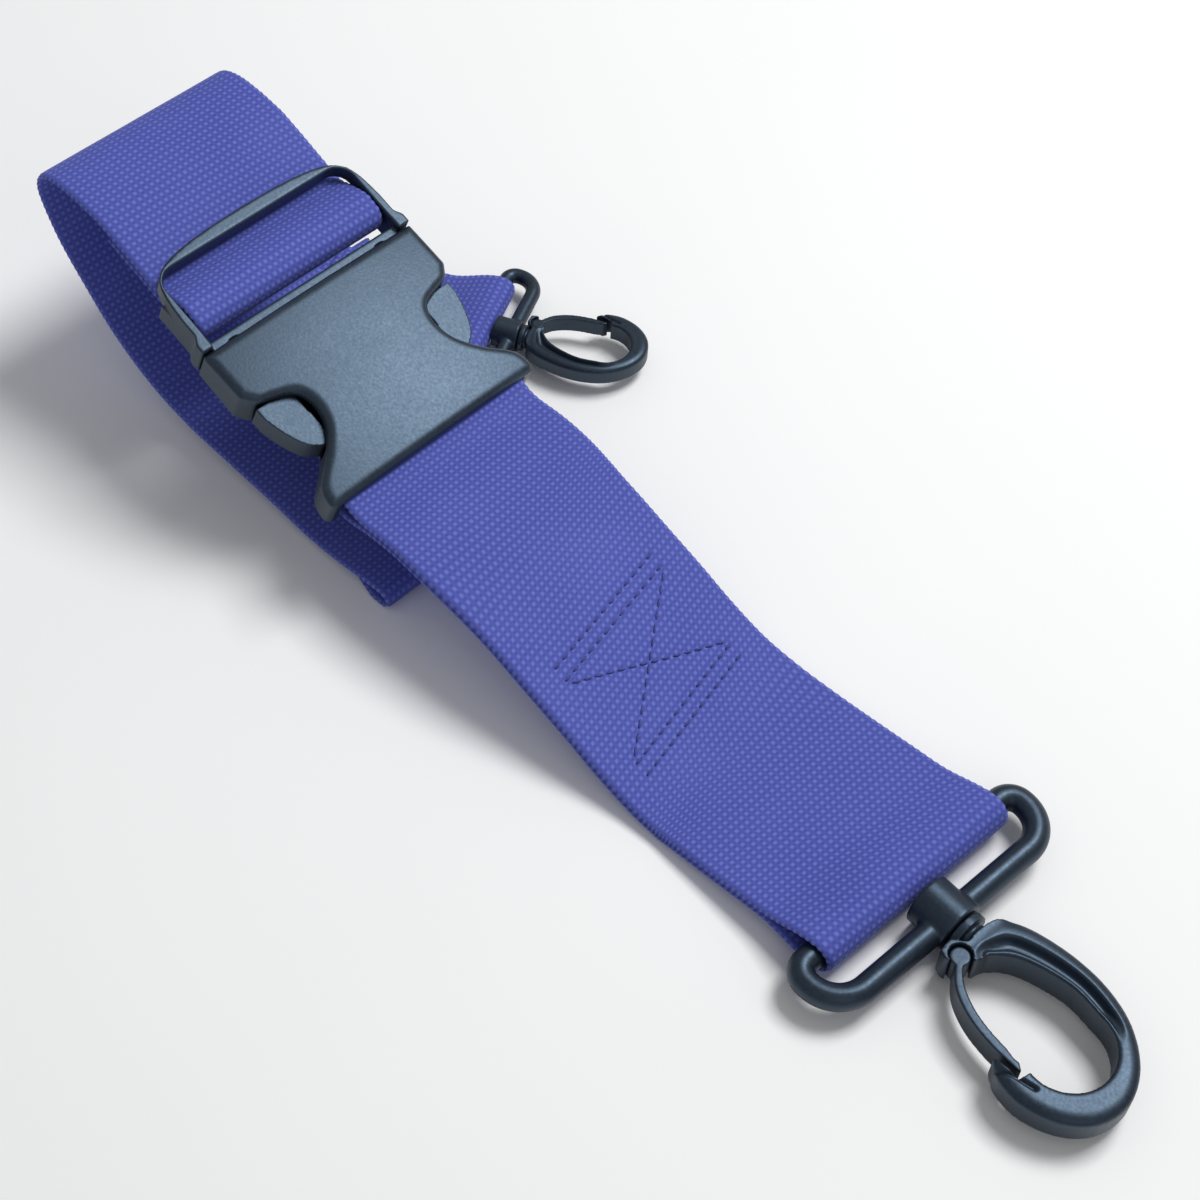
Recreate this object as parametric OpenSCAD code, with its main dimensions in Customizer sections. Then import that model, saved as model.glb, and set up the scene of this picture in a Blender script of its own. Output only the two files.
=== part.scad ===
// Webbing belt with a side-release buckle and a swivel snap hook at each end,
// lying folded in a loop on a flat surface. Millimetres, +Z up. The belt runs
// along X with the front hook towards +X; the origin is on the surface, below
// the buckle.

/* [Webbing] */
// Width of the belt webbing
web_w = 50; // [44:1:52]
// Thickness of one ply of belt webbing
web_t = 1.4; // [1:0.1:1.6]
// Gap between plies that lie on each other
ply_gap = 0.2; // [0.1:0.05:0.3]
// Width of the narrow tab that holds the rear hook
tab_w = 28; // [22:1:30]
// Thickness of one ply of the tab
tab_t = 1.2; // [0.8:0.1:1.3]

/* [Lay of the belt] */
// From the origin forward to the front hook's bar
front_reach = 137.7; // [130:0.1:170]
// Height of the buckle's mouth above the surface
mouth_z = 22.9; // [20:0.1:30]
// Slope of the buckle
buckle_tilt = 21; // [16:1:24]
// From the buckle's outer bar back to the far fold
fold_run = 35.25; // [33:0.05:60]
// Height of the far fold
fold_z = 52; // [50:1:56]
// From the origin forward to the near fold
near_fold = 19; // [16:1:26]
// Turn of the front hook towards the belt's right
front_yaw = 3.4; // [0:0.1:8]
// Heading of the rear hook, from +X towards +Y
rear_heading = 25; // [20:1:30]
// Place of the rear hook's bar along X
rear_x = -23.8; // [-30:0.1:-20]
// From the webbing's edge out to the middle of the rear hook's bar
rear_out = 18.2; // [18:0.1:25]

/* [Buckle] */
// Width of the rail on each side of the webbing
rail_w = 3; // [2.8:0.1:5]
// Overall thickness of the housing
buckle_t = 11; // [10.4:0.1:13]
// Length of the female housing
housing_l = 41.4; // [40:0.1:44]
// Thickness of the housing's top and bottom plates
plate_t = 2.2; // [1.6:0.1:2.2]
// Radius of the housing's webbing bar
house_bar_r = 1.5; // [1.2:0.1:1.6]
// Width of the crossbar that the webbing grips
crossbar_w = 7; // [6:0.1:7.4]
// Thickness of the crossbar
crossbar_t = 4; // [3:0.1:4.2]
// Half width of the housing at its waist
waist_y = 16.8; // [16:0.1:18]

/* [Hooks] */
// Size of the front hook, as a share of the drawn hook
front_scale = 1.08; // [1:0.01:1.12]
// Size of the rear hook, as a share of the drawn hook
rear_scale = 0.7; // [0.6:0.01:0.72]
// Radius of the drawn loop's round bar
bar_r = 2.5; // [2:0.1:2.8]
// Thickness of the drawn hook across its plane
hook_t = 7; // [6:0.1:8]
// Radius of the drawn hook's inner bend
bend_r = 8.4; // [7.4:0.1:8.4]
// Radius of the drawn swivel barrel
barrel_r = 5; // [4.6:0.1:5.2]
// Radius of the drawn swivel stud
stud_r = 2.3; // [2:0.1:2.5]
// Room for a strap inside its loop, on each side
loop_play = 2.35; // [1:0.05:3]

/* [Clearances] */
// Between parts that move or slide on each other
clear = 0.3; // [0.2:0.05:0.35]
// Between the swivel stud and its bore, on the radius
run_clear = 0.06; // [0.03:0.01:0.09]

/* [Hidden] */
$fn = 48;
plastic = [0.22, 0.28, 0.36];
dark_plastic = [0.13, 0.15, 0.19];
webbing = [0.30, 0.34, 0.68];
thread = [0.16, 0.19, 0.48];

mouth_x = 7;                           // the buckle's mouth, along X
half_web = web_w / 2;
slot_y = half_web + clear;             // half width of every belt slot
buckle_w = 2 * (slot_y + rail_w);      // overall width of the buckle
cavity_h = buckle_t - 2 * plate_t;     // inside height of the housing
prong_h = cavity_h - 2 * clear;        // height of all that slides in it
bulkhead_u = 5.7;                      // rear of the webbing chamber
cavity_u = 11.5;                       // front of the prong cavity
house_bar_u = 2;                       // centre of the housing's bar
window_u = 27.5;                       // shoulder that the lugs catch on
prong_y = 8;                           // half width of the centre guide prong
base_u = [37, 43.5];                   // the male frame's base
crossbar_u = 47;                       // front edge of the crossbar
crossbar_z = 1.4;                      // centre of the crossbar
frame_l = 64;                          // from the mouth to the outer bar
outer_bar_z = [1, 5];                  // bottom and top of the outer bar
// from the origin back to the far fold
far_fold = frame_l * cos(buckle_tilt) - mouth_x + fold_run;
lug_u = window_u - 1;                  // rear face of each release arm's lug
arm_root = [39, 20];                   // where each release arm bends
arm_root_r = 2.5;
front_z = barrel_r * front_scale + 0.2;  // height of the front hook's plane
// height of the rear hook's plane: the tab's turn clears the webbing below it
rear_z = web_t + bar_r * rear_scale + clear + tab_t + 0.1;
rear_y = half_web + rear_out;          // place of the rear hook's bar along Y
tab_l = 43;                            // length of the rear tab
return_end = -66;                      // the webbing's end, along X
return_turn = 15;                      // how far its last run turns aside
stitch_r = 0.35;                       // half thickness of a sewn thread
meet_x = 85;                           // where the front strip's two lengths meet
box_x = [57, 83];                      // front strap's stitched box, along X
box_y = 18;                            // half width of the stitched box

// ---- curves ---------------------------------------------------------------

function smooth(t) = let (c = max(0, min(1, t))) c * c * (3 - 2 * c);

function catmull(a, b, c, d, t) =
    0.5 * (2 * b + (c - a) * t + (2 * a - 5 * b + 4 * c - d) * t * t
        + (3 * b - a - 3 * c + d) * t * t * t);

// A smooth curve through the points, with n steps between two of them
function spline(p, n) = let (e = len(p) - 1) concat(
    [for (i = [0:e - 1]) for (j = [0:n - 1])
        catmull(p[max(i - 1, 0)], p[i], p[i + 1], p[min(i + 2, e)], j / n)],
    [p[e]]);

function normals(p) = let (e = len(p) - 1)
    [for (i = [0:e]) let (d = p[min(i + 1, e)] - p[max(i - 1, 0)]) [-d[1], d[0]] / norm(d)];

function reverse(p) = [for (i = [len(p) - 1:-1:0]) p[i]];

function arc(c, r, from, to, n) =
    [for (i = [0:n]) let (a = from + (to - from) * i / n) c + r * [cos(a), sin(a)]];

// The closed outline of a strip of thickness t along an open path
function strip(p, t) = let (n = normals(p)) concat(
    [for (i = [0:len(p) - 1]) p[i] + n[i] * t / 2],
    reverse([for (i = [0:len(p) - 1]) p[i] - n[i] * t / 2]));

// A solid between two outlines of equal length, w apart across Y. Each side's
// diagonal runs the same way along X, so two plies never cross.
module ruled(a, b, w) {
    n = len(a);
    pts = concat([for (q = a) [q[0], -w / 2, q[1]]], [for (q = b) [q[0], w / 2, q[1]]]);
    caps = [[for (i = [0:n - 1]) i], [for (i = [n - 1:-1:0]) n + i]];
    sides = [for (i = [0:n - 1]) let (m = (i + 1) % n)
        each a[i][0] < a[m][0] ? [[i, i + n, m + n], [i, m + n, m]]
            : [[i, i + n, m], [m, i + n, m + n]]];
    polyhedron(points = pts, faces = concat(caps, sides), convexity = 8);
}

// A strip extruded across Y, centred
module across(p, t, w) translate([0, w / 2, 0]) rotate([90, 0, 0]) linear_extrude(w)
    polygon(strip(p, t));

// A thread along a path of points, with a square section
module sewn(path) {
    n = len(path);
    r = stitch_r;
    rings = [for (i = [0:n - 1]) let (
        d = path[min(i + 1, n - 1)] - path[max(i - 1, 0)],
        s = cross(d / norm(d), [0, 0, 1]), u = s / norm(s))
        each [path[i] + r * u, path[i] + [0, 0, r], path[i] - r * u, path[i] - [0, 0, r]]];
    sides = [for (i = [0:n - 2]) for (k = [0:3]) let (m = (k + 1) % 4)
        each [[4 * i + k, 4 * i + 4 + m, 4 * i + 4 + k], [4 * i + k, 4 * i + m, 4 * i + 4 + m]]];
    polyhedron(points = rings, faces = concat(
        [[3, 2, 1, 0]], sides, [[4 * n - 4, 4 * n - 3, 4 * n - 2, 4 * n - 1]]));
}

// ---- the belt's lay -------------------------------------------------------

// From the buckle's own frame (u back from the mouth, w up) to X and Z
function from_buckle(q) = [
    mouth_x - q[0] * cos(buckle_tilt) + q[1] * sin(buckle_tilt),
    mouth_z + q[0] * sin(buckle_tilt) + q[1] * cos(buckle_tilt)];

house_bar = from_buckle([house_bar_u, 0]);
ply = (web_t + ply_gap) / 2;           // a ply's middle from the strap's middle

// Middle of the doubled front strap, from the hook's bar to the housing's bar
front_middle = spline([
    [front_reach, front_z], [front_reach - 14, 4.7], [front_reach - 28, 3.1],
    [front_reach - 40, 1.95], [92, 1.75], [84, 2.6], [75, 5.4], [66, 9.2], [56, 13],
    [46, 16.8], [36, 19.8], [22, 22.3], from_buckle([-3, 0.2]), house_bar], 4);

// Shift along X of a point at y across the strap: the hook's end is turned aside
function skew(x, y) = tan(front_yaw) * y * smooth((x - front_reach + 34) / 30);

hook_turn = bar_r * front_scale + clear + web_t / 2;  // the strip's turn round each bar
house_turn = house_bar_r + clear + web_t / 2;

// Distance of a ply from the strap's middle: it opens out round each bar
function ply_offset(q) = let (d = norm(q - front_middle[0]), e = norm(q - house_bar))
    ply + (hook_turn - ply) * (1 - smooth(d / 14)) + (house_turn - ply) * (1 - smooth(e / 9));

// One ply of the front strap: side 1 is the upper, -1 the lower
function front_ply(side) = let (n = normals(front_middle))
    [for (i = [0:len(front_middle) - 1])
        front_middle[i] - side * n[i] * ply_offset(front_middle[i])];

// Where a ply passes a place along X
function on_ply(p, x) = let (
    i = [for (k = [0:len(p) - 2]) if (p[k][0] >= x && p[k + 1][0] < x) k][0])
    p[i] + (p[i + 1] - p[i]) * (p[i][0] - x) / (p[i][0] - p[i + 1][0]);

// The front strip is two lengths, one round each bar. Their ends meet at the
// stitched box, where the last points of the middle line are left out.
hook_last = max([for (i = [0:len(front_middle) - 1]) if (front_middle[i][0] > meet_x + 2) i]);
hook_length = let (up = front_ply(1), low = front_ply(-1), end = meet_x + ply_gap / 2) concat(
    [on_ply(low, end)], [for (i = [hook_last:-1:1]) low[i]],
    arc(front_middle[0], hook_turn, -88, 88, 12),
    [for (i = [1:hook_last]) up[i]], [on_ply(up, end)]);

buckle_last = min([for (i = [0:len(front_middle) - 1]) if (front_middle[i][0] < meet_x - 2) i]);
buckle_length = let (up = front_ply(1), low = front_ply(-1), end = meet_x - ply_gap / 2,
    e = len(up) - 1) concat(
    [on_ply(up, end)], [for (i = [buckle_last:e - 1]) up[i]],
    arc(house_bar, house_turn, 92 - buckle_tilt, 268 - buckle_tilt, 10),
    [for (i = [e - 1:-1:buckle_last]) low[i]], [on_ply(low, end)]);

function at_side(p, y) = [for (q = p) [q[0] + skew(q[0], y), q[1]]];

// Middle of the rear webbing: the tail, round the crossbar, under the outer
// bar, over the far fold, down to the surface, and back under itself
wrap_r = crossbar_t / 2 + clear + web_t / 2;
grip = crossbar_u + crossbar_t / 2;    // middle of the crossbar's front end
grip_end = crossbar_u + crossbar_w - crossbar_t / 2;
under_bar = outer_bar_z[0] - clear - web_t / 2;
tail_z = under_bar - web_t - 2 * ply_gap;
tail_u = frame_l + 11;                 // the tail's end
adjuster = concat(
    spline([[tail_u, tail_z + 0.1], [frame_l + 5, tail_z], [frame_l, tail_z], [57, tail_z + 0.1],
        [grip + 1, crossbar_z - wrap_r]], 3),
    arc([grip, crossbar_z], wrap_r, 270, 90, 12),
    spline([[grip + 1, crossbar_z + wrap_r], [grip_end, crossbar_z + wrap_r],
        [grip_end + 4, crossbar_z + 0.8], [frame_l - 4.5, under_bar - 0.1],
        [frame_l + 1, under_bar - 0.1], [frame_l + 8, under_bar + 0.2],
        [frame_l + 15, under_bar + 0.3]], 4));
ski = 0.58 * far_fold;                 // where the lower layer leaves the surface
fold_r = 1.8;                          // of the near fold, to the ply's middle
rear_path = concat(
    [for (q = adjuster) from_buckle(q)],
    spline([
        [15 - far_fold, fold_z + 0.6], [8 - far_fold, fold_z + 0.8],
        [2.6 - far_fold, fold_z - 0.8], [0.4 - far_fold, fold_z - 4.2],
        [1 - far_fold, fold_z - 9], [5 - far_fold, fold_z - 17.5],
        [12 - far_fold, fold_z - 26.3], [20 - far_fold, fold_z - 34.8],
        [-6 - ski, 10.2], [6 - ski, 6.6], [19 - ski, 5.3], [33 - ski, 4.2],
        [near_fold - 25, 2.8], [near_fold - 16, 2.9], [near_fold - 8, 3.9],
        [near_fold - 3, web_t / 2 + 2 * fold_r]], 4),
    arc([near_fold - fold_r, web_t / 2 + fold_r], fold_r, 90, -90, 12),
    [[near_fold - 8, web_t / 2]]);

// ---- places ---------------------------------------------------------------

module in_buckle() translate([mouth_x, 0, mouth_z]) rotate([0, buckle_tilt, 0])
    rotate([0, 0, 180]) children();
module at_front() translate([front_reach, 0, front_z]) rotate([0, 0, -front_yaw]) children();
module at_rear() translate([rear_x, rear_y, rear_z]) rotate([0, 0, rear_heading]) children();
module flip() rotate([180, 0, 0]) children();
module both_sides() { children(); mirror([0, 1, 0]) children(); }

// ---- buckle ---------------------------------------------------------------

// Half outline of the housing, from its mouth to its rear edge
function housing_half() = let (h = buckle_w / 2) concat(
    spline([[0, h - 1], [1.4, h], [5.6, h - 1.2], [10.5, waist_y + 4.8],
        [15.5, waist_y + 1], [20.5, waist_y], [24.3, waist_y + 1.5],
        [26, waist_y + 5.5], [window_u - 0.4, h - 2.4], [window_u + 2.5, h]], 4),
    [[housing_l, h]]);

module mirrored_outline(half) polygon(concat(half, reverse([for (q = half) [q[0], -q[1]]])));

module bar_across(u, w, r, half_l) translate([u, half_l, w]) rotate([90, 0, 0])
    cylinder(r = r, h = 2 * half_l);

module female_housing() color(plastic) in_buckle() {
    difference() {
        translate([0, 0, -buckle_t / 2]) linear_extrude(buckle_t)
            mirrored_outline(housing_half());
        // webbing chamber, open at the mouth and below
        translate([-1, -slot_y, -buckle_t]) cube([bulkhead_u + 1, 2 * slot_y,
            buckle_t + house_bar_r + web_t + 2 * clear]);
        // prong cavity, open at the rear and through the waist
        translate([cavity_u, -slot_y, -cavity_h / 2])
            cube([housing_l, 2 * slot_y, cavity_h]);
    }
    bar_across(house_bar_u, 0, house_bar_r, slot_y + 0.6);
    // rails that guide the centre prong
    both_sides() translate([cavity_u - 0.5, prong_y + clear, -cavity_h / 2 - 0.2])
        cube([14, 1.6, 1.4]);
}

// Half outline of the ladder frame, from its base to the outer bar
function ladder_half() = let (h = buckle_w / 2) concat([[housing_l + clear, h]],
    spline([[50, h], [frame_l - 8.5, h - 0.9], [frame_l - 4.7, h - 3],
        [frame_l - 2, h - 6.8], [frame_l - 0.5, h - 15], [frame_l, 0]], 4));

function slot_half() = concat([[crossbar_u + crossbar_w / 2, slot_y]],
    arc([frame_l - 7.2, slot_y - 4], 4, 90, 0, 8));

module male_frame() color(plastic) in_buckle() {
    // side rails and the raised outer bar
    difference() {
        union() {
            translate([0, 0, outer_bar_z[0]])
                linear_extrude(outer_bar_z[1] - outer_bar_z[0]) mirrored_outline(ladder_half());
            both_sides() translate([housing_l + clear, slot_y, -prong_h / 2])
                cube([frame_l - 8.5 - housing_l, buckle_w / 2 - slot_y, prong_h / 2 + 2]);
        }
        translate([0, 0, -1]) linear_extrude(9) mirrored_outline(slot_half());
        translate([housing_l, -slot_y, -1])
            cube([crossbar_u + crossbar_w / 2 - housing_l + 0.1, 2 * slot_y, 9]);
    }
    // crossbar with round edges
    bar_across(grip, crossbar_z, crossbar_t / 2, slot_y + 0.4);
    bar_across(grip_end, crossbar_z, crossbar_t / 2, slot_y + 0.4);
    translate([grip, -slot_y - 0.4, crossbar_z - crossbar_t / 2])
        cube([grip_end - grip, 2 * slot_y + 0.8, crossbar_t]);
    // base in the housing's mouth, with a socket for each release arm
    difference() {
        union() {
            translate([base_u[0], clear - slot_y, -prong_h / 2])
                cube([base_u[1] - base_u[0], 2 * (slot_y - clear), prong_h]);
            translate([housing_l + clear, -buckle_w / 2 + 0.4, -prong_h / 2])
                cube([base_u[1] - housing_l - clear, buckle_w - 0.8, prong_h]);
        }
        both_sides() translate([arm_root[0], arm_root[1], -prong_h])
            cylinder(r = arm_root_r + clear, h = 2 * prong_h);
        both_sides() translate([base_u[0] - 1, arm_root[1] - 4.4, -prong_h])
            cube([arm_root[0] - base_u[0] + 1, 8.6, 2 * prong_h]);
    }
    // centre guide prong
    difference() {
        translate([cavity_u + 1, -prong_y, -prong_h / 2])
            cube([base_u[0] - cavity_u, 2 * prong_y, prong_h]);
        translate([cavity_u + 6, -4.5, -prong_h]) cube([14, 9, 2 * prong_h]);
    }
}

// Release arm on the +y side of the buckle's frame: a stem that bends, and a
// lug whose curved outer face is the press pad
module release_arm() {
    h = buckle_w / 2;
    pad = spline([[cavity_u + 0.8, waist_y + 3.4], [14.5, waist_y + 6.2],
        [18.5, h - 3.2], [23, h - 1.9], [lug_u, h - 1.6]], 4);
    lug = concat([[lug_u, waist_y + 1], [cavity_u + 1.6, waist_y + 0.8]], pad);
    linear_extrude(prong_h, center = true) polygon(lug);
    translate([lug_u - 1, arm_root[1] - 2, -prong_h / 2])
        cube([arm_root[0] - lug_u + 1, 3.6, prong_h]);
    translate([arm_root[0], arm_root[1], -prong_h / 2]) cylinder(r = arm_root_r, h = prong_h);
}

module left_release_arm() color(plastic) in_buckle() release_arm();
module right_release_arm() color(plastic) in_buckle() mirror([0, 1, 0]) release_arm();

// ---- webbing and stitching ------------------------------------------------

module front_hook_webbing() color(webbing) ruled(
    strip(at_side(hook_length, -half_web), web_t),
    strip(at_side(hook_length, half_web), web_t), web_w);

module front_buckle_webbing() color(webbing) across(buckle_length, web_t, web_w);

// Height of a thread on the strap's upper (1) or lower (-1) face at a place along X
function face_z(x, side) =
    on_ply(front_ply(side), x)[1] + side * (web_t / 2 + stitch_r + 0.08);

function sewn_line(a, b, side) = [for (i = [0:8]) let (q = a + (b - a) * i / 8)
    [q[0] + skew(q[0], q[1]), q[1], face_z(q[0], side)]];

module front_box_stitching() color(thread) for (side = [1, -1]) {
    for (x = [box_x[0], box_x[0] + 3, box_x[1] - 3, box_x[1]])
        sewn(sewn_line([x, -box_y], [x, box_y], side));
    for (m = [-1, 1])
        sewn(sewn_line([box_x[0] + 4, -m * (box_y - 1)], [box_x[1] - 4, m * (box_y - 1)],
            side) + [for (i = [0:8]) [0, 0, side * (m + 1) * stitch_r * 1.2]]);
}

// The webbing's last run turns aside, flat on the surface, under the belt
module rear_webbing() color(webbing) {
    across(rear_path, web_t, web_w);
    a = near_fold - 5;
    aside = tan(return_turn) * (a - return_end);
    linear_extrude(web_t) polygon([[a, -half_web], [a, half_web],
        [return_end, half_web + aside], [return_end, aside - half_web]]);
}

// Two rows across the tail's end, under the belt
module tail_hem_stitching() color(thread) for (u = [tail_u - 5, tail_u - 1.5]) {
    q = from_buckle([u, tail_z - web_t / 2 - stitch_r - 0.1]);
    sewn([[q[0], 2 - half_web, q[1]], [q[0], half_web - 2, q[1]]]);
}

tab_ply = (tab_t + ply_gap / 2) / 2;
tab_wrap = bar_r * rear_scale + clear + tab_t / 2;
tab_drop = rear_z - web_t - 2 * tab_ply - ply_gap / 2 + 0.1;

// One ply of the tab, from its sewn end to the rear hook's bar
function tab_side(side) = [for (i = [0:24]) let (d = tab_l * (1 - i / 24), k = smooth(d / 14))
    [-d, -tab_drop * k + side * (tab_ply + (tab_wrap - tab_ply) * (1 - k))]];

module rear_tab() color(webbing) at_rear()
    across(concat(tab_side(-1), arc([0, 0], tab_wrap, -80, 80, 10), reverse(tab_side(1))),
        tab_t, tab_w);

// A box of stitching that holds the tab to the belt's end
module rear_tab_stitching() color(thread) at_rear() {
    z = -tab_drop + tab_ply + tab_t / 2 + stitch_r + 0.05;
    y = tab_w / 2 - 3;
    for (d = [-tab_l + 3, -tab_l + 18]) sewn([[d, -y, z], [d, y, z]]);
    for (m = [-1, 1]) sewn([[-tab_l + 4.2, m * y, z], [-tab_l + 16.8, m * y, z]]);
}

// ---- swivel hooks: k is the size, as a share of the drawn hook ------------

barrel_x = [5, 13.4];                  // the loop's swivel barrel
head_x = 7.4;                          // where the stud's head sits in it
bend = [41, -4.6];                     // centre of the hook's inner bend
gate_root = [17.6, -5.4];              // where the gate turns
gate_r = 1.9;

module rod(a, b, r) {
    d = b - a;
    translate([a[0], a[1], 0]) rotate([0, 0, atan2(d[1], d[0])]) rotate([0, 90, 0])
        cylinder(r = r, h = norm(d));
}

// A quarter turn of the round bar about c, from angle a, of bend radius r
module elbow(c, r, a, sweep, bar) translate([c[0], c[1], 0]) rotate([0, 0, a])
    rotate_extrude(angle = sweep) translate([r, 0]) circle(r = bar);

// The loop that a strap of width w is sewn round
module swivel_loop(k, w) {
    r = bar_r * k;
    y = w / 2 + loop_play + r;         // half length, to the bar's middle
    far_r = 3 * k;
    near_r = 7 * k;
    near_x = 10.4 * k;
    rod([0, far_r - y], [0, y - far_r], r);
    both_sides() {
        elbow([far_r, y - far_r], far_r, 90, 90, r);
        rod([far_r, y], [near_x - near_r, y], r);
        elbow([near_x - near_r, y - near_r], near_r, 0, 90, r);
        rod([near_x, y - near_r], [near_x, barrel_r * k - 0.4], r);
    }
    difference() {
        translate([barrel_x[0] * k, 0, 0]) rotate([0, 90, 0])
            cylinder(r = barrel_r * k, h = (barrel_x[1] - barrel_x[0]) * k);
        translate([barrel_x[0] * k - 1, 0, 0]) rotate([0, 90, 0])
            cylinder(r = stud_r * k + run_clear, h = 20 * k);
        translate([barrel_x[0] * k - 1, 0, 0]) rotate([0, 90, 0])
            cylinder(r = (stud_r + 1.3) * k + clear, h = (head_x - barrel_x[0]) * k + 1);
    }
}

// Outline of the hook's body, round the outside from the neck to the nose
hook_outer = spline([[16.6, -2.6], [16.4, 2], [17.6, 5.4], [22, 8], [30, 9.6], [38, 9.4],
    [45.5, 7], [51.6, 2], [54.6, -4.5], [53.6, -11], [49.2, -15.8], [43, -18.2],
    [37.6, -17.9], [34.6, -16.1], [34.2, -15.2]], 4);
// Back along the inside, from the nose's recess to the neck
hook_inner = [[39.6, -15.2], [40.4, -11], bend];
hook_spine = spline([[41, 3.8], [35, 4.4], [29, 3.3], [24, 1.3], [20.8, -1.8]], 4);
// The claw that holds the gate's root
hook_claw = [[20.2, -4.2], gate_root, [17.2, -7.8], [16.2, -8], [14.6, -7.4], [14.3, -4.5]];

module hook_body(k) {
    t = hook_t * k;
    difference() {
        translate([0, 0, -t / 2]) linear_extrude(t) scale(k)
            polygon(concat(hook_outer, hook_inner, hook_spine, hook_claw));
        translate([bend[0] * k, bend[1] * k, -t]) cylinder(r = bend_r * k, h = 2 * t);
        // socket for the gate's root
        translate([gate_root[0] * k, gate_root[1] * k, -t])
            cylinder(r = gate_r * k + clear, h = 2 * t);
    }
    // swivel stud: collar, neck, shank in the loop's barrel, and head
    for (s = [[13.7, 15.3, 4.3], [15, 17.6, 3.1], [barrel_x[0] + 0.5, 14, stud_r]])
        translate([s[0] * k, 0, 0]) rotate([0, 90, 0])
            cylinder(r = s[2] * k, h = (s[1] - s[0]) * k);
    translate([(barrel_x[0] + 0.2) * k, 0, 0]) rotate([0, 90, 0])
        cylinder(r = (stud_r + 1.3) * k, h = (head_x - barrel_x[0] - 0.2) * k - clear);
}

// Spring gate: a round root, a leaf, and a barbed tip in the nose's recess
module gate_leaf(k) {
    t = hook_t * k * 0.8;
    leaf = spline([gate_root + [0.3, -1.6], [21, -10.4], [26, -12.8], [32, -13.9],
        [38.2, -14]], 4);
    tip = [[38.8, -13.6], [37.4, -12.6], [36.6, -12.8]];
    translate([0, 0, -t / 2]) linear_extrude(t) scale(k) polygon(concat(leaf, tip,
        reverse([for (q = leaf) if (q[0] < 35 && q[0] > 18) q + [0.5, 1.7]])));
    translate([gate_root[0] * k, gate_root[1] * k, -t / 2]) cylinder(r = gate_r * k, h = t);
}

module front_loop() color(dark_plastic) at_front() swivel_loop(front_scale, web_w);
module front_hook() color(dark_plastic) at_front() hook_body(front_scale);
module front_gate() color(dark_plastic) at_front() gate_leaf(front_scale);
module rear_loop() color(dark_plastic) at_rear() swivel_loop(rear_scale, tab_w);
module rear_hook() color(dark_plastic) at_rear() flip() hook_body(rear_scale);
module rear_gate() color(dark_plastic) at_rear() flip() gate_leaf(rear_scale);

female_housing();
male_frame();
left_release_arm();
right_release_arm();
front_buckle_webbing();
front_hook_webbing();
front_box_stitching();
rear_webbing();
tail_hem_stitching();
rear_tab();
rear_tab_stitching();
front_loop();
front_hook();
front_gate();
rear_loop();
rear_hook();
rear_gate();
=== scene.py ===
import math

import bpy
import numpy as np
from mathutils import Matrix, Vector


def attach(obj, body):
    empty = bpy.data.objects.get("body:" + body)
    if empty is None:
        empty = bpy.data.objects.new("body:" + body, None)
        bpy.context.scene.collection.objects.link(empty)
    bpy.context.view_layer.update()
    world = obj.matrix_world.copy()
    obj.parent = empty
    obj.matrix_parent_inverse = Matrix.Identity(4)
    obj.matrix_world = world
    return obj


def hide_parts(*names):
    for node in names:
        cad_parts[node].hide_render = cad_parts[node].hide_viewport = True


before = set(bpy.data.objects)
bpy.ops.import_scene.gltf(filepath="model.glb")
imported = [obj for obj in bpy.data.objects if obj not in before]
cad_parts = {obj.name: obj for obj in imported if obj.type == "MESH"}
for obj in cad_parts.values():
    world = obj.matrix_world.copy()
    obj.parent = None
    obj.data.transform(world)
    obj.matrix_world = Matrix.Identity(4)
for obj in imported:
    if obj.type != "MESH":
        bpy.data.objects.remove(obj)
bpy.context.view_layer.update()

MM = 0.001

# ---- sizes of the belt ----------------------------------------------------

WEB_W, WEB_T, PLY_GAP = 50.0, 1.4, 0.2
TAB_W, TAB_T, TAB_L = 28.0, 1.2, 43.0
FRONT_REACH, FRONT_Z, FRONT_YAW = 137.7, 5.6, 3.4
MOUTH_X, MOUTH_Z, TILT = 7.0, 22.9, 21.0
FAR_FOLD, FOLD_Z, NEAR_FOLD = 88.0, 52.0, 19.0
REAR_X, REAR_Y, REAR_Z, REAR_HEADING = -23.8, 43.2, 4.75, 25.0
FRONT_SCALE, REAR_SCALE, CLEAR, BAR_R = 1.08, 0.7, 0.3, 2.5
BUCKLE_W, HOUSING_L, FRAME_L, WAIST_Y = 56.6, 41.4, 64.0, 16.8
PLATE_IN, PLATE_T = 3.3, 2.2          # inner height of the housing's plates, thickness
HOUSE_BAR_U, HOUSE_BAR_R, WINDOW_U = 2.0, 1.5, 27.5
CROSSBAR_U, CROSSBAR_W, CROSSBAR_T, CROSSBAR_Z = 47.0, 7.0, 4.0, 1.4
OUTER_BAR_BOTTOM, TAIL_U = 1.0, 75.0
RETURN_END, RETURN_TURN, FOLD_R = -66.0, 15.0, 1.8
BOX_X, BOX_Y = (57.0, 83.0), 18.0
BEND, BEND_R = (41.0, -4.6), 8.4
# the front strip's turn round the hook's bar and round the housing's
HOOK_TURN = BAR_R * FRONT_SCALE + CLEAR + WEB_T / 2
HOUSE_TURN = HOUSE_BAR_R + CLEAR + WEB_T / 2


# ---- curves, as in the part's source --------------------------------------

def smooth(t):
    c = np.clip(t, 0.0, 1.0)
    return c * c * (3 - 2 * c)


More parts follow.
